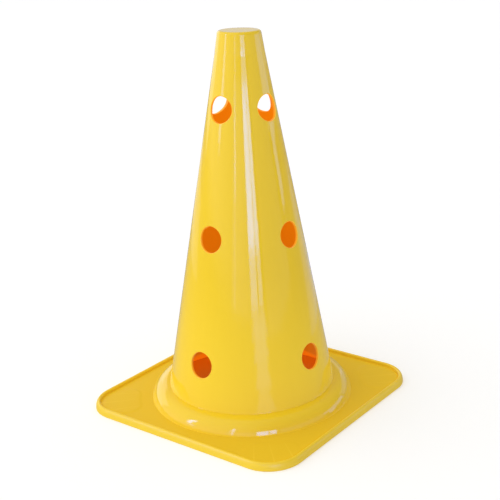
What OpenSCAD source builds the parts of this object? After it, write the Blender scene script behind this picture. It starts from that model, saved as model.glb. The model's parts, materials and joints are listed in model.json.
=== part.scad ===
// Sports marker cone with three levels of pole holes.
// The origin lies on the ground under the middle of the square base, +Z is up,
// and the sides of the base face along X and Y. All lengths are in millimetres.

/* [Cone] */
// Height of the flat top above the ground
total_h = 380; // [300:5:500]
// Outer radius of the cone's wall where it rises from the foot ring
wall_foot_r = 85.2; // [70:0.2:110]
// Outer radius where the taper meets the collar
collar_foot_r = 24.4; // [22.5:0.1:34]
// Thickness of the moulded wall, measured level
wall_t = 2.6; // [2.4:0.1:3.2]

/* [Top] */
// Height of the collar at the top of the cone
collar_h = 22; // [12:1:34]
// Radius that the collar would reach at the flat top
collar_top_r = 21; // [18:0.1:22.4]
// Radius of the round shoulder between the collar and the flat top
shoulder_r = 3; // [2:0.5:6]

/* [Pole holes] */
// Radius of each pole hole, for a level pole of 25 mm
hole_r = 13; // [9:0.5:16]
// Number of levels of holes
hole_levels = 3; // [2:1:4]
// Height of the lowest level's holes above the ground
first_level_z = 61; // [46:1:75]
// Depth of the highest level's holes below the flat top
last_level_drop = 72; // [52:1:90]
// Turn of the hole pattern away from the middle of the base's sides
hole_turn = -1.6; // [-10:0.1:10]

/* [Foot ring] */
// Width of the ring, from the cone's wall to its outer edge on the plate
ring_run = 18.8; // [18:0.2:30]
// Height of the ring's crown above the plate
ring_h = 14; // [9:0.5:18]

/* [Base] */
// Least width of the plate, between the ring and the rim
plate_margin = 16; // [8:0.5:40]
// Radius of the base's corners, seen from above
corner_r = 35; // [15:1:50]
// Height of the plate's top face above the ground
plate_z = 4.6; // [4.4:0.1:6]
// Thickness of the plate
plate_t = 2.2; // [1.4:0.1:3]
// Height of the raised rim above the ground
rim_h = 8; // [7.2:0.1:12]
// Width of the raised rim
rim_w = 5; // [3:0.5:6]

/* [Ribs under the corners] */
// Number of ribs in each corner's fan
rib_count = 3; // [1:1:5]
// Angle between two neighbouring ribs
rib_step = 7; // [4:0.5:9]
// Thickness of a rib
rib_t = 1.4; // [1:0.1:2.4]
// Height by which the ribs stay clear of the ground
rib_lift = 0.8; // [0.3:0.1:1.2]
// Space between a rib's ends and the ring or the rim
rib_gap = 6; // [2:0.5:10]

/* [Hidden] */
$fn = 96;

// Length by which every cutting shape runs past the surface that it cuts
over = 1;

// Heights of the seams between the moulded stretches
wall_foot_z = plate_z + ring_h;
collar_z = total_h - collar_h;
cap_z = total_h - shoulder_r;

// Height from one level of holes to the next
level_pitch = (total_h - last_level_drop - first_level_z) / (hole_levels - 1);

// Radius that the wall loses for each unit of height, and the lean of the wall
taper = (wall_foot_r - collar_foot_r) / (collar_z - wall_foot_z);
wall_lean = atan(taper);

// Outer radius of the collar's upper edge, on which the cap sits
cap_seat_r = collar_top_r + (collar_foot_r - collar_top_r) * shoulder_r / collar_h;

// Outer edge of the ring on the plate, and the opening in the plate under it
ring_r = wall_foot_r + ring_run;
plate_hole_r = ring_r - wall_t;

// Outline of the plate, which is also the inner edge of the rim, and outline of the base
plate_w = 2 * (ring_r + plate_margin);
plate_corner_r = corner_r - rim_w;
base_w = plate_w + 2 * rim_w;

// Distance from the middle to the centres of the corner arcs
corner_c = base_w / 2 - corner_r;

// Where the ribs start, outside the ring, and how deep they hang under the plate
rib_start = ring_r + rib_gap;
rib_h = plate_z - plate_t - rib_lift;

// Where a rib ends that is turned away from the corner's diagonal: short of the rim's corner arc,
// or of its straight run where that lies nearer
function rib_end(turn) = min(
    corner_c * sqrt(2) + plate_corner_r - rib_gap,
    (plate_w / 2 - rib_gap) / cos(45 - abs(turn))
);

colour_cone = "#fbcf35";
colour_cap = "#f6d67a";
colour_ring = "#f3c72f";
colour_plate = "#e6b828";

// Closed band between two heights, with a level wall of wall_t all the way
module wall_band(z_low, r_low, z_high, r_high) {
    rotate_extrude()
        polygon([
            [r_low - wall_t, z_low],
            [r_low, z_low],
            [r_high, z_high],
            [r_high - wall_t, z_high]
        ]);
}

// Cutter of one pole hole, square to the leaning wall and centred in its thickness
module pole_hole(z) {
    wall_mid_r = wall_foot_r - taper * (z - wall_foot_z) - wall_t / 2;
    translate([wall_mid_r, 0, z])
        rotate([0, 90 - wall_lean, 0])
            cylinder(r = hole_r, h = 2 * hole_r, center = true);
}

// Quarter of a round section: the outer surface of radius size and all that lies inside it
module quarter_disc(size) {
    intersection() {
        circle(r = size);
        square(size);
    }
}

// Square with round corners, centred on the origin and extruded upward
module rounded_slab(width, radius, height) {
    inner = width - 2 * radius;
    translate([-width / 2, -inner / 2, 0])
        cube([width, inner, height]);
    translate([-inner / 2, -width / 2, 0])
        cube([inner, width, height]);
    for (x_side = [-1, 1], y_side = [-1, 1])
        translate([x_side * inner / 2, y_side * inner / 2, 0])
            cylinder(r = radius, h = height);
}

// Section of the rim: its outer face on the Y axis, its round crown at the top
module rim_section() {
    crown_r = rim_w / 2;
    translate([-rim_w, 0])
        square([rim_w, rim_h - crown_r]);
    translate([-crown_r, rim_h - crown_r])
        circle(r = crown_r);
}

// Straight tapered wall from the foot ring to the collar, pierced by the pole holes: four to a level,
// so that a level pole passes through a hole and the one opposite
module cone_wall() {
    color(colour_cone)
        difference() {
            wall_band(wall_foot_z, wall_foot_r, collar_z, collar_foot_r);
            for (level = [0 : hole_levels - 1], quarter = [0 : 3])
                rotate([0, 0, hole_turn + 90 * quarter])
                    pole_hole(first_level_z + level * level_pitch);
        }
}

// Short band at the top, a little steeper than the taper under it
module top_collar() {
    color(colour_cone)
        wall_band(collar_z, collar_foot_r, cap_z, cap_seat_r);
}

// Closed flat top with its round shoulder, seated on the collar's upper edge
module top_cap() {
    flat_r = cap_seat_r - shoulder_r;
    color(colour_cap)
        translate([0, 0, cap_z])
            rotate_extrude()
                difference() {
                    union() {
                        square([flat_r, shoulder_r]);
                        translate([flat_r, 0])
                            quarter_disc(shoulder_r);
                    }
                    translate([-over, -over])
                        square([cap_seat_r - wall_t + over, max(shoulder_r - wall_t, 0) + over]);
                }
}

// Convex step round the cone's foot: a level shelf, then a quarter round down to the plate
module foot_ring() {
    round_c = ring_r - ring_h;
    shelf_in = wall_foot_r - wall_t;
    color(colour_ring)
        translate([0, 0, plate_z])
            rotate_extrude()
                difference() {
                    union() {
                        translate([shelf_in, 0])
                            square([round_c - shelf_in, ring_h]);
                        translate([round_c, 0])
                            quarter_disc(ring_h);
                    }
                    translate([shelf_in - over, -over])
                        square([round_c - shelf_in + over, ring_h - wall_t + over]);
                    translate([round_c, 0])
                        circle(r = ring_h - wall_t);
                }
}

// Square plate with round corners and the round opening under the cone
module base_plate() {
    color(colour_plate)
        translate([0, 0, plate_z - plate_t])
            difference() {
                rounded_slab(plate_w, plate_corner_r, plate_t);
                translate([0, 0, -over])
                    cylinder(r = plate_hole_r, h = plate_t + 2 * over);
            }
}

// Raised rim all round the plate: four straight runs joined by quarter turns
module edge_rim() {
    color(colour_cone)
        for (side = [0 : 3])
            rotate([0, 0, 90 * side]) {
                translate([base_w / 2, corner_c, 0])
                    rotate([90, 0, 0])
                        linear_extrude(2 * corner_c)
                            rim_section();
                translate([corner_c, corner_c, 0])
                    rotate_extrude(angle = 90)
                        translate([corner_r, 0])
                            rim_section();
            }
}

// Fan of low ribs under each corner of the plate
module corner_ribs() {
    color(colour_plate)
        for (corner = [0 : 3], rib = [0 : rib_count - 1]) {
            turn = (rib - (rib_count - 1) / 2) * rib_step;
            rotate([0, 0, 45 + 90 * corner + turn])
                translate([rib_start, -rib_t / 2, rib_lift])
                    cube([rib_end(turn) - rib_start, rib_t, rib_h]);
        }
}

cone_wall();
top_collar();
top_cap();
foot_ring();
base_plate();
edge_rim();
corner_ribs();
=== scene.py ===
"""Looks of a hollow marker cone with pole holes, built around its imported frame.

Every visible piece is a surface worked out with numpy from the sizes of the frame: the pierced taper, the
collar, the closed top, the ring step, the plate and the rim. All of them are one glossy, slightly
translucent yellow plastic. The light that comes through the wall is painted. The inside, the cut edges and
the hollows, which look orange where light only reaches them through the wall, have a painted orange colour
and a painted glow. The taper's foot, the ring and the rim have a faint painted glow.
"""
import json
import logging
import math
from dataclasses import dataclass, field
from enum import Enum
from typing import Mapping, Sequence

import bmesh
import bpy
import numpy as np
from mathutils import Matrix, Vector


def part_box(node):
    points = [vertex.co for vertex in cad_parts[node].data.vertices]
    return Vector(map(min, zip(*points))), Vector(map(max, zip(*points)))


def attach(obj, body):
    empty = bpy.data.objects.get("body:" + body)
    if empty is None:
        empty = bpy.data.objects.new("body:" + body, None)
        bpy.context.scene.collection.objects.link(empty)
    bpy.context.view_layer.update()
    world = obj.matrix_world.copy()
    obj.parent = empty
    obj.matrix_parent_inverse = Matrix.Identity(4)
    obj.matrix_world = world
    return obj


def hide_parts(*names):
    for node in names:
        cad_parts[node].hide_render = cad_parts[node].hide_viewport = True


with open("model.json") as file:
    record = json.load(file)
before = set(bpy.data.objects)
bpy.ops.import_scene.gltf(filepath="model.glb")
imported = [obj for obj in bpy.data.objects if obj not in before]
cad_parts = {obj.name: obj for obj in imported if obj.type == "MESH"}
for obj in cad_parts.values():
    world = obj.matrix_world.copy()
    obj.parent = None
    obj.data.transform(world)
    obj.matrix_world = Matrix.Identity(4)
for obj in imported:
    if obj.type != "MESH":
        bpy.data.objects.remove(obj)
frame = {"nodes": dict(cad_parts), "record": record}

LOG = logging.getLogger("marker_cone")

MM = 0.001
TURN = 2 * math.pi
ROOT_BODY = "root"
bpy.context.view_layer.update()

Colour = tuple[float, float, float]
Pair = tuple[float, float]
Array = np.ndarray
Profiles = tuple[Array, Array]
Finishes = Sequence[bpy.types.Material]
Socket = bpy.types.NodeSocket

# Colours of the plastic, linear, each with the deeper one that it drifts to, and the plate's over a rib.
YELLOW, YELLOW_DEEP = (0.95, 0.655, 0.021), (0.92, 0.62, 0.017)
AMBER, AMBER_DEEP = (0.87, 0.57, 0.028), (0.84, 0.535, 0.024)
# The oranges of the inside and of the cut edges are painted light: the same yellow plastic, coloured as it looks
# where light reaches it only through the wall.
PAINTED_ORANGE, PAINTED_ORANGE_DEEP = (0.85, 0.37, 0.006), (0.82, 0.33, 0.005)
PAINTED_EDGE_ORANGE, PAINTED_EDGE_ORANGE_DEEP = (0.96, 0.52, 0.03), (0.94, 0.48, 0.02)
RIB_TONE = (1.0, 0.70, 0.06)

# The floor's tone, the painted orange tone of the painted shade under the part, and the tints of the lamps.
FLOOR_TONE, PAINTED_SHADE_TONE = (0.86, 0.86, 0.86), (0.82, 0.56, 0.25)
WHITE, PANE_BLUE, PALE_BLUE, DUSK_BLUE = (1.0, 1.0, 1.0), (0.10, 0.36, 1.0), (0.85, 0.92, 1.0), (0.5, 0.65, 1.0)

# Scale and octaves of the noises that the tone, the roughness and the flow streaks follow.
TONE_NOISE, ROUGH_NOISE, FLOW_NOISE = (9.0, 3.0), (22.0, 3.0), (14.0, 4.0)
NOISE_MIDDLE = 0.5

# Scale and octaves of the noises of the skin and its grain, each with its bump's strength and depth.
SKIN_BUMPS = (((60.0, 2.0), 0.10, 0.0006), ((1400.0, 2.0), 0.03, 0.0001))

# The ribs' lines on the plate: angle between two lines, angle over which a line fades out, how many steps they
# reach from the corner's diagonal, and distances from the axis between which they fade in.
RIB_STEP, RIB_FADE, RIB_REACH, RIB_START = math.radians(7.0), 0.007, 1.4, (0.114, 0.158)


class Skin(Enum):
    """Which side of the moulding a face belongs to, in the order of a piece's material slots."""

    OUTSIDE = 0
    INSIDE = 1
    CUT = 2


class NodeTools:
    """Short names for the shader nodes that the finishes and the studio are made of."""

    def __init__(self, owner: bpy.types.Material | bpy.types.World) -> None:
        """Empties the owner's node tree.

        Args:
            owner: the material or world to fill.
        """
        owner.use_nodes = True
        self.tree = owner.node_tree
        self.tree.nodes.clear()

    def add(self, kind: str, inputs: Mapping[str | int, object] | None = None, **settings: object) -> bpy.types.Node:
        """Adds one node.

        Args:
            kind: Blender's name of the node, less its ShaderNode.
            inputs: what its inputs get, each a value or a socket to join it to.
            settings: attributes to set on it.

        Returns:
            The new node.
        """
        node = self.tree.nodes.new("ShaderNode" + kind)
        for name, value in settings.items():
            setattr(node, name, value)
        for name, value in (inputs or {}).items():
            if isinstance(value, Socket):
                self.tree.links.new(value, node.inputs[name])
            else:
                node.inputs[name].default_value = value
        return node

    def place(self, output: str = "Object") -> Socket:
        """Adds the texture coordinates and gives one of them."""
        return self.add("TexCoord").outputs[output]

    def split(self, vector: Socket) -> bpy.types.bpy_prop_collection:
        """Gives a vector's parts X, Y and Z."""
        return self.add("SeparateXYZ", {0: vector}).outputs

    def maths(self, operation: str, *values: object) -> Socket:
        """Gives the result of an operation on numbers or sockets."""
        return self.add("Math", dict(enumerate(values)), operation=operation).outputs[0]

    def length(self, *sides: Socket) -> Socket:
        """Gives the root of the sum of two sides' squares."""
        return self.maths("SQRT", self.maths("ADD", *(self.maths("POWER", side, 2.0) for side in sides)))

    def noise(self, vector: Socket, scale: float, octaves: float) -> Socket:
        """Gives the value of a noise, from 0 to 1."""
        return self.add("TexNoise", {"Vector": vector, "Scale": scale, "Detail": octaves}).outputs[0]

    def spread(self, value: Socket, target: tuple[object, object], source: Pair = (0.0, 1.0)) -> Socket:
        """Maps a value evenly from the source's range onto the target's, and no further than its ends."""
        names = ("Value", "From Min", "From Max", "To Min", "To Max")
        return self.add("MapRange", dict(zip(names, (value, *source, *target)))).outputs[0]

    def blend(self, share: Socket, first: object, second: object) -> Socket:
        """Mixes two colours: all of the first at share 0, all of the second at share 1."""
        inputs = {"Factor": share, "A": first, "B": second}
        return self.add("Mix", inputs, data_type="RGBA").outputs["Result"]

    def surface(self, look: Mapping[str, object]) -> None:
        """Ends the tree in a Principled shader with this look."""
        shader = self.add("BsdfPrincipled", look)
        self.add("OutputMaterial", {"Surface": shader.outputs[0]})


@dataclass(frozen=True)
class PlasticFinish:
    """Moulded plastic: a base colour with faint variation, a fine skin, a gloss and on some a painted glow.

    Attributes:
        name: the material's name.
        colour: base colour, linear.
        shade: the colour that the base colour drifts to where the pigment lies thicker.
        drift: how far it may drift, as a share.
        roughness: roughness of the skin.
        roughness_drift: how much the roughness wanders.
        gloss: specular level, 0.5 for bare plastic and less where dust and fine wear dull it.
        density: the plastic's index of refraction.
        painted_glow: strength of the painted glow at the foot, an emission that stands in for light coming through
            the wall.
        painted_glow_above: how much of that painted glow there is higher up.
        painted_glow_span: heights between which the one changes evenly into the other.
        painted_glow_colour: the colour of the painted glow.
        streaks: depth of the upright flow streaks round the cone's axis.
        streak_rise: how fast they change with height, as a share of their change sideways.
        fan: how strongly the lines of the corner ribs read through.
    """

    name: str
    colour: Colour
    shade: Colour
    drift: float = 0.6
    roughness: float = 0.07
    roughness_drift: float = 0.02
    gloss: float = 0.5
    density: float = 1.5
    painted_glow: float = 0.0
    painted_glow_above: float = 0.0
    painted_glow_span: Pair = (0.03, 0.15)
    painted_glow_colour: Colour = (1.0, 0.86, 0.17)
    streaks: float = 0.0
    streak_rise: float = 0.6
    fan: float = 0.0

    def build(self) -> bpy.types.Material:
        """Makes the material.

        Returns:
            The finished material, which reads Object coordinates only.
        """
        material = bpy.data.materials.new(self.name)
        tools = NodeTools(material)
        place = tools.place()
        amount = tools.spread(tools.noise(place, *TONE_NOISE), (0.0, self.drift))
        if self.streaks:
            amount = tools.maths("ADD", amount, tools.maths("MULTIPLY", self.flow(tools, place), self.streaks))
        share = tools.maths("MINIMUM", tools.maths("MAXIMUM", amount, 0.0), 1.0)
        base = tools.blend(share, (*self.colour, 1.0), (*self.shade, 1.0))
        if self.fan:
            share = tools.maths("MULTIPLY", self.fan_lines(tools, place), self.fan)
            base = tools.blend(share, base, (*RIB_TONE, 1.0))
        rough = (self.roughness - self.roughness_drift, self.roughness + self.roughness_drift)
        look = {"Base Color": base, "Roughness": tools.spread(tools.noise(place, *ROUGH_NOISE), rough),
                "IOR": self.density, "Specular IOR Level": self.gloss}
        skin = {}
        for noise, strength, depth in SKIN_BUMPS:
            bump = {"Height": tools.noise(place, *noise), "Strength": strength, "Distance": depth}
            skin = {"Normal": tools.add("Bump", bump | skin).outputs[0]}
        # Painted light: an emission that changes with height and stands in for light coming through the wall.
        if self.painted_glow:
            painted_glow = tools.spread(tools.split(place)["Z"], (self.painted_glow, self.painted_glow_above), self.painted_glow_span)
            look |= {"Emission Color": (*self.painted_glow_colour, 1.0), "Emission Strength": painted_glow}
        tools.surface(look | skin)
        return material

    def flow(self, tools: NodeTools, place: Socket) -> Socket:
        """Noise that changes with the angle round the upright axis and little with height: flow streaks.

        Args:
            tools: the material's node tools.
            place: the Object coordinates.

        Returns:
            A value near 0, to add to the drift.
        """
        parts = tools.split(place)
        angle = tools.maths("ARCTAN2", parts["Y"], parts["X"])
        around = tools.add("CombineXYZ", {
            "X": tools.maths("SINE", angle),
            "Y": tools.maths("COSINE", angle),
            "Z": tools.maths("MULTIPLY", parts["Z"], self.streak_rise),
        })
        return tools.maths("SUBTRACT", tools.noise(around.outputs[0], *FLOW_NOISE), NOISE_MIDDLE)

    def fan_lines(self, tools: NodeTools, place: Socket) -> Socket:
        """Three faint lines in each corner of the plate, where the ribs under it read through.

        The angle round the axis is folded onto one corner, and a line is where the folded angle comes
        near a multiple of the ribs' step.

        Args:
            tools: the material's node tools.
            place: the Object coordinates.

        Returns:
            A value from 0 to 1, which is 1 on a line.
        """
        parts = tools.split(place)
        x, y = (tools.maths("ABSOLUTE", parts[axis]) for axis in "XY")
        folded = tools.maths("ABSOLUTE", tools.maths("SUBTRACT", tools.maths("ARCTAN2", y, x), math.pi / 4))
        half = RIB_STEP / 2
        wave = tools.maths("PINGPONG", tools.maths("ADD", folded, half), half)
        off = tools.maths("DIVIDE", tools.maths("ABSOLUTE", tools.maths("SUBTRACT", wave, half)), RIB_FADE)
        line = tools.maths("SUBTRACT", 1.0, tools.maths("MINIMUM", off, 1.0))
        fade = tools.spread(tools.length(x, y), (0.0, 1.0), RIB_START)
        inside = tools.maths("LESS_THAN", folded, RIB_STEP * RIB_REACH)
        return tools.maths("MULTIPLY", tools.maths("MULTIPLY", line, fade), inside)


@dataclass
class PatchMesh:
    """A closed mesh that is put together from grids of points.

    Attributes:
        name: the piece's name.
        weld: distance within which points are taken as one.
        sharp: edges that bend by more than this stay sharp, radians.
        points: the grids' points so far.
        quads: the grids' faces so far.
        skins: the side of the moulding that each face belongs to.
        count: number of points so far.
    """

    name: str
    weld: float = 0.002 * MM
    sharp: float = math.radians(35.0)
    points: list[Array] = field(default_factory=list)
    quads: list[Array] = field(default_factory=list)
    skins: list[Array] = field(default_factory=list)
    count: int = 0

    def add(self, grid: Array, skin: Skin, turned: bool = False) -> None:
        """Adds a grid of points as faces.

        A face joins the points (i, j), (i, j+1), (i+1, j+1) and (i+1, j), so its normal is the second
        direction crossed with the first.

        Args:
            grid: points, of shape (rows, columns, 3), whose last column joins the first.
            skin: the side of the moulding.
            turned: whether the faces point the other way.
        """
        rows, columns = grid.shape[:2]
        left = np.arange(rows * columns).reshape(rows, columns) + self.count
        right = np.roll(left, -1, axis=1)
        faces = np.stack([left[:-1], right[:-1], right[1:], left[1:]], axis=-1).reshape(-1, 4)
        self.points.append(grid.reshape(-1, 3))
        self.quads.append(faces[:, ::-1] if turned else faces)
        self.skins.append(np.full(len(faces), skin.value))
        self.count += rows * columns

    def build(self, finishes: Finishes) -> bpy.types.Object:
        """Welds the grids into one closed mesh and makes the object.

        Args:
            finishes: materials, one for each skin.

        Returns:
            The new object, at the origin.
        """
        points, quads, skins = (np.concatenate(parts) for parts in (self.points, self.quads, self.skins))
        mesh = bpy.data.meshes.new(self.name)
        mesh.from_pydata(points, [], quads)
        for material in finishes:
            mesh.materials.append(material)
        mesh.polygons.foreach_set("material_index", skins)
        mesh.polygons.foreach_set("use_smooth", [True] * len(quads))
        welder = bmesh.new()
        welder.from_mesh(mesh)
        bmesh.ops.remove_doubles(welder, verts=welder.verts, dist=self.weld)
        welder.to_mesh(mesh)
        welder.free()
        mesh.validate()
        mesh.set_sharp_from_angle(angle=self.sharp)
        mesh.update()
        return put(self.name, mesh)


def put(name: str, data: bpy.types.ID) -> bpy.types.Object:
    """Makes an object, at the origin, and adds it to the scene.

    Args:
        name: the object's name.
        data: its mesh, lamp or camera.

    Returns:
        The new object.
    """
    thing = bpy.data.objects.new(name, data)
    bpy.context.scene.collection.objects.link(thing)
    return thing


def polar(turn: Array, radius: Array, z: Array | float) -> Array:
    """Points round the upright axis: (radius cos turn, radius sin turn, z)."""
    return np.stack(np.broadcast_arrays(radius * np.cos(turn), radius * np.sin(turn), z), axis=-1)


def revolve(profile: Array, turns: int) -> Array:
    """Carries a profile of points (radius, height) round the upright axis, in a number of columns."""
    return polar(np.arange(turns) * TURN / turns, profile[:, :1], profile[:, 1:])


def arc(centre: Pair, size: Pair, start: float, end: float, steps: int) -> Array:
    """Points on an upright ellipse's arc: centre plus (a cos t, b sin t), t from start to end degrees.

    Args:
        centre: the ellipse's centre.
        size: its half axes.
        start: first angle.
        end: last angle.
        steps: number of stretches.

    Returns:
        Points of shape (steps + 1, 2).
    """
    angle = np.radians(np.linspace(start, end, steps + 1))
    return np.stack([centre[0] + size[0] * np.cos(angle), centre[1] + size[1] * np.sin(angle)], axis=-1)


def run(start: Pair, end: Pair, steps: int) -> Array:
    """Evenly spaced points from start to end, both included."""
    return np.linspace(start, end, steps + 1)


def bend(start: Pair, first: Pair, second: Pair, end: Pair, steps: int) -> Array:
    """Points on a cubic curve that leaves start towards first and comes to end from second.

    With u running from 0 to 1 and v = 1 - u, the point is v^3 start + 3 u v^2 first + 3 u^2 v second + u^3 end.

    Args:
        start: where it starts.
        first: the point that it heads for.
        second: the point that it comes from.
        end: where it ends.
        steps: number of stretches.

    Returns:
        Points of shape (steps + 1, 2).
    """
    u = np.linspace(0, 1, steps + 1)[:, None]
    v = 1 - u
    leaving = v**3 * np.array(start) + 3 * u * v**2 * np.array(first)
    return leaving + 3 * u**2 * v * np.array(second) + u**3 * np.array(end)


@dataclass
class PoleHole:
    """One round hole, square to the leaning wall.

    Attributes:
        turn: angle of its middle round the cone.
        height: height of its middle.
        reach: distance of its middle from the cone's axis.
        lean: angle of the hole's axis above the level.
        radius: radius of its cut wall.
    """

    turn: float
    height: float
    reach: float
    lean: float
    radius: float

    def along(self, angle: Array, size: Array, step: Array) -> Array:
        """Points round the hole's axis, as if the hole lay at turn 0.

        The point at angle a is the hole's middle, plus size times (cos a sideways, sin a up the wall), plus
        step along the axis, which leans up by lean.

        Args:
            angle: angles round the axis.
            size: distances from the axis.
            step: distances along the axis, outward.

        Returns:
            Points, of shape (n, 3).
        """
        rise = size * np.sin(angle)
        x = self.reach - rise * math.sin(self.lean) + step * math.cos(self.lean)
        z = self.height + rise * math.cos(self.lean) + step * math.sin(self.lean)
        return np.stack([x, size * np.cos(angle) + 0 * x, z], axis=-1)

    def meet(self, angle: Array, size: float, offset: float) -> Array:
        """Steps along the axis at which the lines round the hole meet one face of the wall.

        The face is a cone of the hole's own lean, whose radius at the hole's height is reach + offset.
        With m = size sin a sin lean, a line meets it where
        (reach - m + s cos)^2 + (size cos a)^2 = (reach + offset - m - s sin tan)^2, a quadratic in s.

        Args:
            angle: angles round the axis.
            size: distance of the lines from the axis.
            offset: the face's distance from the middle of the wall, level.

        Returns:
            The steps s.
        """
        sin, cos = math.sin(self.lean), math.cos(self.lean)
        m = size * np.sin(angle) * sin
        near, far = self.reach - m, self.reach + offset - m
        square = cos**2 - (sin * sin / cos) ** 2
        linear = 2 * near * cos + 2 * far * sin * sin / cos
        rest = near**2 + (size * np.cos(angle)) ** 2 - far**2
        return (np.sqrt(linear**2 - 4 * square * rest) - linear) / (2 * square)


def holes_from_record(record: dict, digits: int = 6) -> dict[float, list[PoleHole]]:
    """Reads the pole holes from the record's bores.

    Args:
        record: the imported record.
        digits: decimals of a height, in metres, by which the levels are told apart.

    Returns:
        For each level's height, its holes in order round the cone.
    """
    levels: dict[float, list[PoleHole]] = {}
    for mount in record["mounts"]:
        if mount["kind"] != "bore":
            continue
        x, y, height = mount["pos_m"]
        hole = PoleHole(math.atan2(y, x) % TURN, height, math.hypot(x, y), math.asin(mount["axis"][2]),
                        mount["dims"]["r_mm"] * MM)
        levels.setdefault(round(height, digits), []).append(hole)
    return {height: sorted(levels[height], key=lambda hole: hole.turn) for height in sorted(levels)}


@dataclass
class Sizes:
    """The sizes that the pieces share, read from the frame, in metres.

    Attributes:
        top_z: height of the flat top.
        cap_z: height of the seam between collar and cap.
        collar_z: height of the seam between taper and collar.
        wall_z: height where the taper starts, at the ring's crown.
        plate_z: top face of the plate.
        plate_low_z: lower face of the plate.
        rim_z: top of the rim.
        wall_r: outer radius of the taper's foot.
        collar_r: outer radius of the collar's foot.
        cap_r: outer radius of the collar's upper edge.
        ring_r: outer radius of the ring.
        half_w: half the side of the base.
        plate_half_w: half the side of the plate.
        wall: thickness of the wall, measured level.
        corner_r: radius of the base's corners.
    """

    top_z: float
    cap_z: float
    collar_z: float
    wall_z: float
    plate_z: float
    plate_low_z: float
    rim_z: float
    wall_r: float
    collar_r: float
    cap_r: float
    ring_r: float
    half_w: float
    plate_half_w: float
    wall: float
    corner_r: float = 35.0 * MM

    @classmethod
    def from_frame(cls, hole: PoleHole) -> "Sizes":
        """Reads the boxes of the CAD nodes, and the wall's thickness from a hole.

        A hole is centred in the wall, so half the thickness is what its reach lacks of the outer face's.

        Args:
            hole: one of the pole holes.

        Returns:
            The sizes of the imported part.
        """
        taper, collar, cap, ring, plate, rim = (
            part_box(node) for node in ("cone_wall", "top_collar", "top_cap", "foot_ring", "base_plate", "edge_rim"))
        (_, _, foot_z), (foot_r, _, end_z) = taper
        end_r = collar[1][0]
        outer = foot_r + (end_r - foot_r) * (hole.height - foot_z) / (end_z - foot_z)
        return cls(
            top_z=cap[1][2], cap_z=collar[1][2], collar_z=end_z, wall_z=foot_z,
            plate_z=plate[1][2], plate_low_z=plate[0][2], rim_z=rim[1][2],
            wall_r=foot_r, collar_r=end_r, cap_r=cap[1][0], ring_r=ring[1][0],
            half_w=rim[1][0], plate_half_w=plate[1][0], wall=2 * (outer - hole.reach),
        )

    def taper_r(self, z: Array | float) -> Array | float:
        """Outer radius of the taper at a height: a straight line from its foot to the collar's."""
        return np.interp(z, (self.wall_z, self.collar_z), (self.wall_r, self.collar_r))


@dataclass
class Piece:
    """A visible piece that stands for one CAD node.

    Attributes:
        sizes: the shared sizes.
    """

    sizes: Sizes

    def fill(self, mesh: PatchMesh) -> None:
        """Adds the piece's surfaces to its mesh."""
        raise NotImplementedError

    def dress(self, name: str, node: str, slot: str, finishes: Finishes) -> None:
        """Builds the piece, hides its node, ties it to its body, and reports it.

        Args:
            name: the piece's name.
            node: the CAD node that it stands for.
            slot: not used.
            finishes: materials for outside, inside and cut faces.
        """
        mesh = PatchMesh(name)
        self.fill(mesh)
        piece = mesh.build(finishes)
        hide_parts(node)
        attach(piece, ROOT_BODY)
        LOG.info("%s: %d vertices, %d faces", name, len(piece.data.vertices), len(piece.data.polygons))


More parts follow.
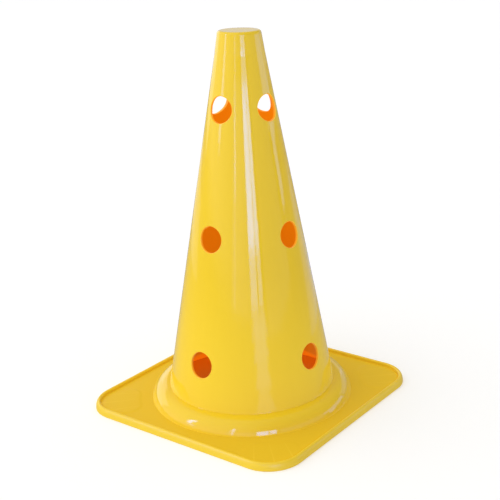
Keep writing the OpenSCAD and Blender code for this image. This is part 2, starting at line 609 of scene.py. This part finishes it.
@dataclass
class TaperedWall(Piece):
    """The hollow taper with its levels of pole holes.

    Each level is a band of as many patches as it has holes. A patch is a fan of rings that starts on the
    hole's outline and ends on the patch's straight border, so that the bands between the levels join it
    point to point.

    Attributes:
        levels: holes by height.
        band: half the height of a level's band.
        row: height of a row of faces between the bands.
        least_rows: least number of rows there.
        lip: radius of the rounding on the holes' edges.
        lip_steps: number of rows in it.
        across: points along a patch's lower and upper border.
        up: points along its left and right border.
        rings: number of rings in a patch.
        crowding: power by which the rings crowd towards the hole.
    """

    levels: dict[float, list[PoleHole]]
    band: float = 22.0 * MM
    row: float = 6 * MM
    least_rows: int = 2
    lip: float = 0.5 * MM
    lip_steps: int = 4
    across: int = 36
    up: int = 14
    rings: int = 12
    crowding: float = 1.6

    def on_wall(self, turn: Array, z: Array | float, depth: float) -> Array:
        """Points on the wall at an angle and a height, at a depth below its outer face."""
        return polar(turn, self.sizes.taper_r(z) - depth, z)

    def round_hole(self, hole: PoleHole, angle: Array, size: float, depth: float,
                   shift: float = 0.0) -> Array:
        """A row of points round the hole, as if it lay at turn 0.

        Args:
            hole: the hole.
            angle: angles round it.
            size: the row's radius.
            depth: depth of a face of the wall below the outer one.
            shift: how far the row lies outward of that face.

        Returns:
            Points of shape (n, 3).
        """
        return hole.along(angle, size, hole.meet(angle, size, self.sizes.wall / 2 - depth) + shift)

    def border(self, hole: PoleHole, width: float) -> Profiles:
        """Angle and height of a patch's straight border, anticlockwise from its lower right corner.

        Args:
            hole: the hole in the patch's middle.
            width: the patch's width as an angle.

        Returns:
            Turns and heights of the border's points.
        """
        side = np.linspace(-1, 1, self.up + 1)[:-1]
        top = np.linspace(-1, 1, self.across + 1)[:-1]
        side_end, top_end = np.ones_like(side), np.ones_like(top)
        x = np.concatenate([side_end, -top, -side_end, top])
        y = np.concatenate([side, top_end, -side, -top_end])
        return hole.turn + x * width / 2, hole.height + y * self.band

    def patch(self, mesh: PatchMesh, hole: PoleHole, width: float) -> None:
        """Adds one hole with the wall round it, on both faces, its rounded edges and its cut wall.

        Args:
            mesh: the mesh to add to.
            hole: the hole.
            width: the patch's width as an angle.
        """
        wall = self.sizes.wall
        turn_out, z_out = self.border(hole, width)
        angle = np.arctan2((z_out - hole.height) / math.cos(hole.lean), (turn_out - hole.turn) * hole.reach)
        share = (np.linspace(0, 1, self.rings + 1) ** self.crowding)[:, None]
        edge = hole.radius + self.lip
        for depth, skin in ((0.0, Skin.OUTSIDE), (wall, Skin.INSIDE)):
            x, y, z_in = self.round_hole(hole, angle, edge, depth).T
            turn_in = hole.turn + np.arctan2(y, x)
            turn = turn_in * (1 - share) + turn_out * share
            z = z_in * (1 - share) + z_out * share
            mesh.add(self.on_wall(turn, z, depth), skin, turned=depth == 0)
        quarter = np.radians(np.linspace(0, 90, self.lip_steps + 1))
        size = edge - self.lip * np.sin(quarter)
        sunk = self.lip * (1 - np.cos(quarter))
        rows = [self.round_hole(hole, angle, r, 0.0, -d) for r, d in zip(size, sunk)]
        rows += [self.round_hole(hole, angle, r, wall, d) for r, d in zip(size[::-1], sunk[::-1])]
        x, y, z = np.moveaxis(np.stack(rows), -1, 0)
        cos, sin = math.cos(hole.turn), math.sin(hole.turn)
        mesh.add(np.stack([x * cos - y * sin, x * sin + y * cos, z], axis=-1), Skin.CUT)

    def fill(self, mesh: PatchMesh) -> None:
        """Adds the levels' patches, the bands between them and the wall's level ends.

        Args:
            mesh: the mesh to add to.
        """
        s = self.sizes
        first = next(iter(self.levels.values()))
        width = TURN / len(first)
        edges = [s.wall_z]
        for height, holes in self.levels.items():
            edges += [height - self.band, height + self.band]
            for hole in holes:
                self.patch(mesh, hole, width)
        edges.append(s.collar_z)
        steps = np.arange(self.across) / self.across
        turns = np.concatenate([hole.turn - width / 2 + steps * width for hole in first])
        for low, high in zip(edges[::2], edges[1::2]):
            z = np.linspace(low, high, max(self.least_rows, round((high - low) / self.row)) + 1)[:, None]
            for depth, skin in ((0.0, Skin.OUTSIDE), (s.wall, Skin.INSIDE)):
                mesh.add(self.on_wall(turns, z, depth), skin, turned=depth > 0)
        for z, turned in ((s.wall_z, True), (s.collar_z, False)):
            mesh.add(np.stack([self.on_wall(turns, z, depth) for depth in (0.0, s.wall)]), Skin.CUT, turned)


@dataclass
class Shell(Piece):
    """A hollow stretch of the moulding that is a surface of revolution.

    Attributes:
        turns: number of columns round the axis.
    """

    turns: int = 144

    def faces(self) -> Profiles:
        """Gives the profiles of the outer and the inner face, with their ends facing each other."""
        raise NotImplementedError

    def fill(self, mesh: PatchMesh) -> None:
        """Adds both faces, and a strip that closes each end that isn't on the axis.

        Args:
            mesh: the mesh to add to.
        """
        outer, inner = self.faces()
        mesh.add(revolve(outer, self.turns), Skin.OUTSIDE)
        mesh.add(revolve(inner, self.turns), Skin.INSIDE, turned=True)
        for end, turned in ((0, False), (-1, True)):
            strip = np.stack([inner[end], outer[end]])
            if strip[:, 0].max() > 0:
                mesh.add(revolve(strip, self.turns), Skin.CUT, turned)


@dataclass
class Collar(Shell):
    """The short band at the top, a little steeper than the taper.

    Attributes:
        steps: number of rows in it.
    """

    steps: int = 6

    def faces(self) -> Profiles:
        """Gives both faces: straight lines from the taper up to the cap, a wall's thickness apart."""
        s = self.sizes
        return tuple(run((s.collar_r - depth, s.collar_z), (s.cap_r - depth, s.cap_z), self.steps)
                     for depth in (0, s.wall))


@dataclass
class Cap(Shell):
    """The closed top: a round shoulder, then a flat that sinks a hair towards its middle.

    Attributes:
        sink: how deep the flat sinks.
        rows: number of rows in the shoulder, in the flat and under it.
    """

    sink: float = 0.12 * MM
    rows: tuple[int, int, int] = (14, 12, 8)

    def faces(self) -> Profiles:
        """Gives both faces, from the collar to the axis.

        The shoulder is a quarter round. At a share q of its radius, the flat lies sink times the square of
        1 - q^2 below the shoulder's crown.

        Returns:
            The outer and the inner profile.
        """
        s = self.sizes
        rise = s.top_z - s.cap_z
        flat_r = s.cap_r - rise
        shoulder_rows, flat_rows, under_rows = self.rows
        shoulder = arc((flat_r, s.cap_z), (rise, rise), 0, 90, shoulder_rows)
        share = np.linspace(1, 0, flat_rows + 1)[1:, None]
        flat = np.concatenate([flat_r * share, s.top_z - self.sink * (1 - share**2) ** 2], axis=1)
        inner_r, under_z = s.cap_r - s.wall, s.top_z - s.wall
        inner = np.concatenate([[(inner_r, s.cap_z)], run((inner_r, under_z), (0.0, under_z), under_rows)])
        return np.concatenate([shoulder, flat]), inner


@dataclass
class FootRing(Shell):
    """The convex step round the foot: a steep flank, a round shoulder and a shelf in to the wall.

    The curve keeps just inside the quarter round of the frame's ring. Its flank hardly bends, so that the
    lamps' reflections in it come out tall.

    Attributes:
        flank_lean: how far the flank leans in, radians.
        flank_climb: how far along the flank the curve heads, in ring heights.
        crown_in: how far in from the edge the curve levels out, in ring heights.
        shelf_in: how far in the shelf starts, in ring heights.
        outer_rows: number of rows in the curve and in the shelf.
        inner_rows: number of rows in the inner face's round and under the shelf.
    """

    flank_lean: float = math.radians(15)
    flank_climb: float = 0.5
    crown_in: float = 0.4
    shelf_in: float = 1.15
    outer_rows: tuple[int, int] = (36, 2)
    inner_rows: tuple[int, int] = (20, 4)

    def faces(self) -> Profiles:
        """Gives both faces, from the plate to the wall.

        Returns:
            The outer and the inner profile.
        """
        s = self.sizes
        high = s.wall_z - s.plate_z
        climb = self.flank_climb * high
        heading = (s.ring_r - climb * math.sin(self.flank_lean), s.plate_z + climb * math.cos(self.flank_lean))
        coming = (s.ring_r - self.crown_in * high, s.wall_z)
        shelf = (s.ring_r - self.shelf_in * high, s.wall_z)
        outer = np.concatenate([
            bend((s.ring_r, s.plate_z), heading, coming, shelf, self.outer_rows[0]),
            run(shelf, (s.wall_r, s.wall_z), self.outer_rows[1])[1:],
        ])
        inner_high, inner_r, under_z = high - s.wall, s.wall_r - s.wall, s.wall_z - s.wall
        inner = np.concatenate([
            arc((s.ring_r - high, s.plate_z), (inner_high, inner_high), 0, 90, self.inner_rows[0]),
            run((s.ring_r - high, under_z), (inner_r, under_z), self.inner_rows[1])[1:],
            [(inner_r, s.wall_z)],
        ])
        return outer, inner


def rounded_square(angle: Array, half: float, corner: float) -> Array:
    """Distance from the middle to a rounded square's outline, at an angle.

    Folded onto one eighth of the turn, the ray meets the straight side at half over the cosine, or else
    the corner's arc, whose centre lies half less corner out along both axes.

    Args:
        angle: angles round the middle.
        half: half the side.
        corner: radius of the corners.

    Returns:
        Distances.
    """
    folded = np.abs((angle + math.pi / 4) % (math.pi / 2) - math.pi / 4)
    centre = half - corner
    along = centre * (np.cos(folded) + np.sin(folded))
    arc_r = along + np.sqrt(np.maximum(along**2 - 2 * centre**2 + corner**2, 0))
    straight = half / np.cos(folded)
    return np.where(half * np.tan(folded) <= centre, straight, arc_r)


@dataclass
class Plate(Piece):
    """The flat of the base between ring and rim, with a barely raised pad in each corner.

    Attributes:
        turns: number of columns round the middle.
        rings: number of rings from the opening to the rim on the top.
        low_rings: number of them on the underside.
        pad_raise: how much a pad stands proud.
        pad_slope: width of the slope round a pad.
        pad_round: radius of a pad's corners.
        pad_from_ring: space between a pad and the ring.
        pad_from_rim: space between a pad and the rim.
        pad_stations: number of angles at which a pad's core is measured.
    """

    turns: int = 720
    rings: int = 40
    low_rings: int = 4
    pad_raise: float = 0.2 * MM
    pad_slope: float = 1.6 * MM
    pad_round: float = 16 * MM
    pad_from_ring: float = 12 * MM
    pad_from_rim: float = 2.5 * MM
    pad_stations: int = 361

    def pads(self, x: Array, y: Array) -> Array:
        """Height of the corner pads above the plate.

        A pad is every place within the corner radius of its core, and the core is what a smaller rounded
        square leaves outside a circle round the ring. From the pad's edge the height rises over the slope's
        width by the smooth step, share squared times three less twice the share.

        Args:
            x: places along X.
            y: places along Y.

        Returns:
            Heights, of the same shape.
        """
        s = self.sizes
        shrink = self.pad_from_rim + self.pad_round
        core_in = s.ring_r + self.pad_from_ring + self.pad_round
        half, corner = s.plate_half_w - shrink, s.corner_r - (s.half_w - s.plate_half_w) - shrink
        turn = np.linspace(0, TURN / 4, self.pad_stations)
        core_out = rounded_square(turn, half, corner)
        turn, core_out = turn[core_out > core_in], core_out[core_out > core_in]
        if not turn.size:
            return np.zeros_like(x)
        reach = np.concatenate([np.full(turn.size, core_in), core_out])
        turn = np.concatenate([turn, turn])
        off_x = np.abs(x)[..., None] - reach * np.cos(turn)
        off_y = np.abs(y)[..., None] - reach * np.sin(turn)
        here = np.hypot(x, y)
        in_core = (here > core_in) & (here < rounded_square(np.arctan2(y, x), half, corner))
        off = np.where(in_core, 0, np.hypot(off_x, off_y).min(axis=-1))
        share = np.clip((self.pad_round - off) / self.pad_slope, 0, 1)
        return self.pad_raise * share**2 * (3 - 2 * share)

    def fill(self, mesh: PatchMesh) -> None:
        """Adds both faces and both edges: each ring is part of the way from the opening to the outline.

        Args:
            mesh: the mesh to add to.
        """
        s = self.sizes
        angle = np.arange(self.turns) * TURN / self.turns
        outer = rounded_square(angle, s.plate_half_w, s.corner_r - (s.half_w - s.plate_half_w))
        inner = np.full_like(angle, s.ring_r - s.wall)
        for top, z, rings in ((True, s.plate_z, self.rings), (False, s.plate_low_z, self.low_rings)):
            share = np.linspace(0, 1, rings + 1)[:, None]
            grid = polar(angle, inner * (1 - share) + outer * share, z)
            if top:
                grid[..., 2] += self.pads(grid[..., 0], grid[..., 1])
            mesh.add(grid, Skin.OUTSIDE if top else Skin.INSIDE, turned=top)
        for reach, turned in ((inner, True), (outer, False)):
            mesh.add(np.stack([polar(angle, reach, z) for z in (s.plate_low_z, s.plate_z)]), Skin.CUT, turned)


@dataclass
class Rim(Piece):
    """The raised bead all round the base.

    Attributes:
        along: number of stations on each straight run.
        corner_steps: number of stations in each corner.
        crown_share: place of the crown, as a share of the width from the outside in.
        inner_drop: height of the round edge between the crown and the inner face.
        foot_round: radius of the round edges at the foot.
        rows: number of rows in each of these, up the outer face, and in the crown's inner edge.
    """

    along: int = 24
    corner_steps: int = 24
    crown_share: float = 0.6
    inner_drop: float = 2.2 * MM
    foot_round: float = 0.8 * MM
    rows: tuple[int, int, int] = (5, 24, 12)

    def section(self) -> Array:
        """The bead's section: distance in from the base's outline, and height.

        The outer face is a quarter of an ellipse from the foot to the crown, so that it rolls over without
        an edge.

        Returns:
            Points of shape (n, 2), anticlockwise from the foot's outer edge as seen with the outside on
            the right, and back to that edge.
        """
        s = self.sizes
        width, foot = s.half_w - s.plate_half_w, self.foot_round
        crown = self.crown_share * width
        foot_rows, outer_rows, inner_rows = self.rows
        right = arc((-foot, foot), (foot, foot), -90, 0, foot_rows)
        outer = arc((-crown, foot), (crown, s.rim_z - foot), 0, 90, outer_rows)
        inner = arc((-crown, s.rim_z - self.inner_drop), (width - crown, self.inner_drop), 90, 180, inner_rows)
        left = arc((-width + foot, foot), (foot, foot), 180, 270, foot_rows)
        return np.concatenate([right, outer[1:], inner[1:], left, right[:1]])

    def path(self) -> Profiles:
        """The base's outline and its outward direction, once round.

        Returns:
            Points and directions, each of shape (n, 2).
        """
        s = self.sizes
        centre = s.half_w - s.corner_r
        y = np.linspace(-centre, centre, self.along + 1)[:-1]
        straight = np.stack([np.full_like(y, s.half_w), y], axis=-1)
        angle = np.linspace(0, math.pi / 2, self.corner_steps + 1)[:-1]
        fan = np.stack([np.cos(angle), np.sin(angle)], axis=-1)
        side = np.concatenate([straight, centre + s.corner_r * fan])
        facing = np.concatenate([np.tile([1.0, 0.0], (len(y), 1)), fan])
        spins = [np.array([[math.cos(turn), math.sin(turn)], [-math.sin(turn), math.cos(turn)]])
                 for turn in (quarter * math.pi / 2 for quarter in range(4))]
        return np.concatenate([side @ spin for spin in spins]), np.concatenate([facing @ spin for spin in spins])

    def fill(self, mesh: PatchMesh) -> None:
        """Carries the section along the outline.

        Args:
            mesh: the mesh to add to.
        """
        section = self.section()
        points, outward = self.path()
        flat = points[None] + outward[None] * section[:, None, :1]
        height = np.broadcast_to(section[:, 1:2], flat.shape[:2])
        mesh.add(np.concatenate([flat, height[..., None]], axis=-1), Skin.OUTSIDE)


@dataclass
class PhotoCamera:
    """The camera at the photograph's viewing angle.

    Attributes:
        azimuth: angle round the cone, degrees, 0 looking along +Y.
        elevation: angle above the ground, degrees, as seen from the origin.
        distance: distance from the origin.
        aim: point that it looks at.
        roll: turn about its own axis, degrees.
        focal_px: focal length in pixels of the 500-pixel frame.
        centre_px: pixel that its axis passes through.
        frame_px: side of the frame.
        sensor_mm: side of the sensor.
        clip: nearest and farthest distance that it sees.
    """

    azimuth: float = 38.437
    elevation: float = 26.535
    distance: float = 1.12556
    aim: tuple[float, float, float] = (0.04316, 0.03425, 0.20835)
    roll: float = -1.283
    focal_px: float = 1049.0
    centre_px: Pair = (300.0, 200.0)
    frame_px: float = 500.0
    sensor_mm: float = 36.0
    clip: Pair = (0.01, 100.0)

    def place(self) -> Vector:
        """The camera's position."""
        a, e = math.radians(self.azimuth), math.radians(self.elevation)
        return self.distance * Vector((math.sin(a) * math.cos(e), -math.cos(a) * math.cos(e), math.sin(e)))

    def turn(self) -> float:
        """The camera's angle round the upright axis, radians anticlockwise from +X."""
        place = self.place()
        return math.atan2(place.y, place.x)

    def build(self) -> None:
        """Makes the camera and sets it as the scene's."""
        data = bpy.data.cameras.new("photo_camera")
        data.sensor_width = self.sensor_mm
        data.lens = self.focal_px / self.frame_px * self.sensor_mm
        middle = (self.frame_px - 1) / 2
        data.shift_x = (middle - self.centre_px[0]) / self.frame_px
        data.shift_y = (self.centre_px[1] - middle) / self.frame_px
        data.clip_start, data.clip_end = self.clip
        place = self.place()
        forward = (Vector(self.aim) - place).normalized()
        right = forward.cross(Vector((0, 0, 1))).normalized()
        up = right.cross(forward)
        cos, sin = math.cos(math.radians(self.roll)), math.sin(math.radians(self.roll))
        axes = Matrix((right * cos + up * sin, up * cos - right * sin, -forward)).transposed()
        camera = put("photo_camera", data)
        camera.matrix_world = Matrix.Translation(place) @ axes.to_4x4()
        bpy.context.scene.camera = camera


@dataclass(frozen=True)
class Lamp:
    """A soft rectangular lamp that faces a point of the cone.

    Attributes:
        name: the lamp's name.
        turn: angle round the cone's axis from the camera, degrees, towards the picture's right.
        height: height of its middle.
        width: width of the lamp.
        tall: height of the lamp.
        strength: radiance of its face.
        distance: distance from the cone's axis.
        tint: colour of its light.
        lying: whether it lies flat and shines straight up, its length pointing away from the cone.
        glint_only: whether it shows in the gloss alone and lights nothing, or the other way round.
        aim_z: height of the point that it faces.
    """

    name: str
    turn: float
    height: float
    width: float
    tall: float
    strength: float
    distance: float = 3.0
    tint: Colour = PANE_BLUE
    lying: bool = False
    glint_only: bool = True
    aim_z: float = 0.15

    def build(self, camera_turn: float) -> None:
        """Makes the lamp.

        Args:
            camera_turn: angle of the camera round the axis, radians anticlockwise from +X.
        """
        data = bpy.data.lights.new(self.name, "AREA")
        data.shape = "RECTANGLE"
        data.size, data.size_y = self.width, self.tall
        data.color = self.tint
        data.energy = self.strength * math.pi * self.width * self.tall
        turn = camera_turn + math.radians(self.turn)
        place = Vector((self.distance * math.cos(turn), self.distance * math.sin(turn), self.height))
        lamp = put(self.name, data)
        lamp.location = place
        lamp.rotation_mode = "QUATERNION"
        if self.lying:
            along, outward = Vector((-math.sin(turn), math.cos(turn), 0)), Vector((math.cos(turn), math.sin(turn), 0))
            lamp.rotation_quaternion = Matrix((along, outward, along.cross(outward))).transposed().to_quaternion()
        else:
            lamp.rotation_quaternion = (Vector((0, 0, self.aim_z)) - place).to_track_quat("-Z", "Y")
        lamp.visible_camera = False
        lamp.visible_diffuse, lamp.visible_glossy = not self.glint_only, self.glint_only


# Each lamp's name, turn, height, width, tall side and strength, then what it has unlike most.
LAMPS = (
    Lamp("ceiling", 0.0, 10.0, 24.0, 24.0, 0.43, 0.03, WHITE, glint_only=False),
    Lamp("pane_left_high", -76.0, 1.50, 0.34, 1.20, 15.0),
    Lamp("pane_left_low", -72.5, 0.63, 0.50, 0.38, 4.0),
    Lamp("wall_left", -145.0, 0.80, 2.80, 1.60, 0.85, tint=PALE_BLUE),
    Lamp("slit_high", -23.0, 0.86, 0.16, 0.22, 4.0),
    Lamp("slit_top", -23.0, 1.45, 0.20, 0.90, 9.0),
    Lamp("slit_middle", -23.3, 0.59, 0.12, 0.32, 8.0),
    Lamp("slit_low", -23.8, 0.20, 0.15, 0.38, 1.1),
    Lamp("panes_high", 13.2, 0.96, 1.10, 0.20, 4.0),
    Lamp("pane_front_a", 9.0, 0.55, 0.66, 0.62, 12.5),
    Lamp("pane_front_b", 19.9, 0.55, 0.38, 0.62, 11.0),
    Lamp("pane_low_a", 8.8, 0.13, 0.61, 0.22, 4.4),
    Lamp("pane_low_b", 20.2, 0.13, 0.34, 0.22, 4.2),
    Lamp("pane_right", 95.5, 0.24, 0.60, 0.36, 2.6),
    Lamp("pane_right_high", 92.0, 0.60, 1.00, 0.36, 2.4),
    Lamp("wall_right", 111.0, 0.55, 1.10, 0.62, 1.9),
    Lamp("wall_back_right", 142.0, 0.75, 1.90, 1.00, 0.7),
    Lamp("glint_a", 14.5, 0.002, 0.09, 0.24, 1.0, 0.34, lying=True),
    Lamp("glint_b", 14.5, 0.002, 0.18, 0.40, 1.6, 0.66, lying=True),
    Lamp("glint_c", 14.5, 0.002, 0.36, 0.64, 2.0, 1.18, lying=True),
    Lamp("glint_d", 14.5, 0.002, 0.74, 1.40, 2.4, 2.20, lying=True),
    Lamp("glint_right", 132.0, 0.002, 0.45, 1.50, 0.45, 1.10, lying=True),
    Lamp("glint_left", -138.0, 0.002, 1.20, 1.00, 0.45, 1.30, PALE_BLUE, lying=True),
    Lamp("room_front", -8.0, 0.44, 2.40, 0.90, 0.6),
    Lamp("room_right", 55.0, 0.40, 3.00, 1.10, 0.5),
    Lamp("backdrop", 180.0, 0.85, 2.60, 0.60, 0.55, tint=DUSK_BLUE),
)


@dataclass
class Studio:
    """Pale floor, white surroundings and soft lamps.

    Attributes:
        camera: the camera, whose side the lamps are placed from.
        floor_w: side of the floor.
        floor_rough: its roughness.
        floor_light: how much the floor is lit up by itself.
        shade_half_w: half the side of the rounded square of painted shade under the part, where the floor doesn't
            glow and is painted orange.
        shade_corner_r: radius of its corners.
        shade_soft: width over which its edge fades out.
        even: strength of the surroundings' even light.
        under: strength of what the gloss sees below the level.
        horizon: how far below the level, as the sine of the angle, the one has faded into the other.
        soft: strength of their soft light.
        overhead: strength of the light from above.
        soft_turn: the soft light's angle round the axis from the camera, degrees, towards the picture's right.
        soft_rise: its angle above the level, degrees.
        lamps: the lamps.
    """

    camera: PhotoCamera
    floor_w: float = 60.0
    floor_rough: float = 0.9
    floor_light: float = 0.23
    shade_half_w: float = 122 * MM
    shade_corner_r: float = 32 * MM
    shade_soft: float = 6 * MM
    even: float = 0.36
    under: float = 0.47
    horizon: float = 0.06
    soft: float = 1.06
    overhead: float = 0.25
    soft_turn: float = -80.0
    soft_rise: float = 15.0
    lamps: tuple[Lamp, ...] = LAMPS

    def build_floor(self) -> None:
        """Makes the floor: a large pale sheet that glows evenly all round the part, with a painted shade under it.

        There it doesn't glow, and its colour is painted orange for the light that would come through the plastic.
        The shade is a rounded square: its edge is where the place, past a square core, is a corner's radius away.
        """
        half = self.floor_w / 2
        mesh = bpy.data.meshes.new("pale_floor")
        mesh.from_pydata([(-half, -half, 0), (half, -half, 0), (half, half, 0), (-half, half, 0)], [], [(0, 1, 2, 3)])
        material = bpy.data.materials.new("pale_floor")
        tools = NodeTools(material)
        parts = tools.split(tools.place())
        core = self.shade_half_w - self.shade_corner_r
        past = [tools.maths("MAXIMUM", tools.maths("SUBTRACT", tools.maths("ABSOLUTE", parts[axis]), core), 0.0)
                for axis in "XY"]
        edge = (self.shade_corner_r - self.shade_soft, self.shade_corner_r)
        outside = tools.spread(tools.length(*past), (0.0, 1.0), edge)
        # Painted shade under the part: no glow there, and a painted orange tone for the light through the plastic.
        tools.surface({
            "Base Color": tools.blend(outside, (*PAINTED_SHADE_TONE, 1.0), (*FLOOR_TONE, 1.0)),
            "Roughness": self.floor_rough,
            "Specular IOR Level": 0.0,
            "Emission Color": (*WHITE, 1.0),
            "Emission Strength": tools.maths("MULTIPLY", outside, self.floor_light),
        })
        mesh.materials.append(material)
        floor = put("pale_floor", mesh)
        floor.visible_glossy = False

    def build_world(self) -> None:
        """Makes the surroundings: an even light, a broad soft one from the front left and one from above.

        The strength in a direction is even, plus soft times the cosine of its angle to the soft light's
        middle where that is over 0, plus overhead times the square of its upward share. Below the level,
        which only the gloss sees, it fades to the strength under.
        """
        world = bpy.data.worlds.new("white_room")
        bpy.context.scene.world = world
        tools = NodeTools(world)
        direction = tools.place("Generated")
        turn, rise = self.camera.turn() + math.radians(self.soft_turn), math.radians(self.soft_rise)
        middle = (math.cos(turn) * math.cos(rise), math.sin(turn) * math.cos(rise), math.sin(rise))
        facing = tools.add("VectorMath", {0: direction, 1: middle}, operation="DOT_PRODUCT")
        cosine = tools.maths("MAXIMUM", facing.outputs["Value"], 0.0)
        upward = tools.split(direction)["Z"]
        above = tools.maths("POWER", tools.maths("MAXIMUM", upward, 0.0), 2.0)
        broad = tools.maths("ADD", tools.maths("MULTIPLY", cosine, self.soft), self.even)
        total = tools.maths("ADD", tools.maths("MULTIPLY", above, self.overhead), broad)
        strength = tools.spread(upward, (self.under, total), (-self.horizon, 0.0))
        sky = tools.add("Background", {"Strength": strength})
        tools.add("OutputWorld", {"Surface": sky.outputs[0]})

    def build(self) -> None:
        """Makes floor, surroundings and lamps."""
        self.build_floor()
        self.build_world()
        for lamp in self.lamps:
            lamp.build(self.camera.turn())


# The finishes, in the order in which main names them.
FINISHES = (
    # painted_glow is painted light: an emission at the taper's foot, on the ring's lower flank and at the rim's foot.
    PlasticFinish("cone_plastic", YELLOW, YELLOW_DEEP, streaks=0.5, painted_glow=0.09),
    PlasticFinish("cap_plastic", YELLOW, YELLOW_DEEP, roughness=0.12),
    PlasticFinish("ring_plastic", YELLOW, YELLOW_DEEP, painted_glow=0.10, painted_glow_span=(0.005, 0.015)),
    PlasticFinish("plate_plastic", AMBER, AMBER_DEEP, roughness=0.2, gloss=0.05, fan=0.5),
    PlasticFinish("rim_plastic", YELLOW, YELLOW_DEEP, roughness=0.36, painted_glow=0.03, painted_glow_span=(0.002, 0.008)),
    # The inside, hollow and cut finishes are painted light: orange colours and an emission for the light that would
    # come through the wall.
    PlasticFinish("inside_painted_light", PAINTED_ORANGE, PAINTED_ORANGE_DEEP, roughness=0.45, gloss=0.1, painted_glow=0.15, painted_glow_above=0.23,
                  painted_glow_span=(0.03, 0.32), painted_glow_colour=(1.0, 0.46, 0.006)),
    PlasticFinish("hollow_painted_light", PAINTED_ORANGE, PAINTED_ORANGE_DEEP, roughness=0.45, gloss=0.1, painted_glow=0.36, painted_glow_above=0.36,
                  painted_glow_colour=(1.0, 0.26, 0.004)),
    PlasticFinish("cut_painted_light", PAINTED_EDGE_ORANGE, PAINTED_EDGE_ORANGE_DEEP, roughness=0.4, gloss=0.3, painted_glow=0.12, painted_glow_above=0.22,
                  painted_glow_span=(0.03, 0.32), painted_glow_colour=(1.0, 0.42, 0.02)),
)


def main() -> None:
    """Builds the dressed cone, the studio and the camera."""
    logging.basicConfig(level=logging.INFO, format="%(name)s: %(message)s")
    cone, cap, ring, plate, rim, inside, hollow, cut = (finish.build() for finish in FINISHES)
    levels = holes_from_record(frame["record"])
    sizes = Sizes.from_frame(next(iter(levels.values()))[0])
    for piece, name, node, slot, finishes in (
        (TaperedWall(sizes, levels), "pierced_taper", "cone_wall", "cone_plastic", (cone, inside, cut)),
        (Collar(sizes), "collar_band", "top_collar", "cone_plastic", (cone, inside, inside)),
        (Cap(sizes), "closed_top", "top_cap", "cap_plastic", (cap, inside, inside)),
        (FootRing(sizes), "ring_step", "foot_ring", "ring_plastic", (ring, hollow, hollow)),
        (Plate(sizes), "base_sheet", "base_plate", "plate_plastic", (plate, hollow, hollow)),
        (Rim(sizes), "rim_bead", "edge_rim", "rim_plastic", (rim, rim, rim)),
    ):
        piece.dress(name, node, slot, finishes)
    ribs = frame["nodes"]["corner_ribs"]
    ribs.data.materials.clear()
    ribs.data.materials.append(plate)
    LOG.info("corner ribs: the CAD node, with the plate's finish")

    camera = PhotoCamera()
    camera.build()
    Studio(camera).build()
    bpy.context.scene.view_settings.view_transform = "Standard"


if __name__ == "__main__":
    main()
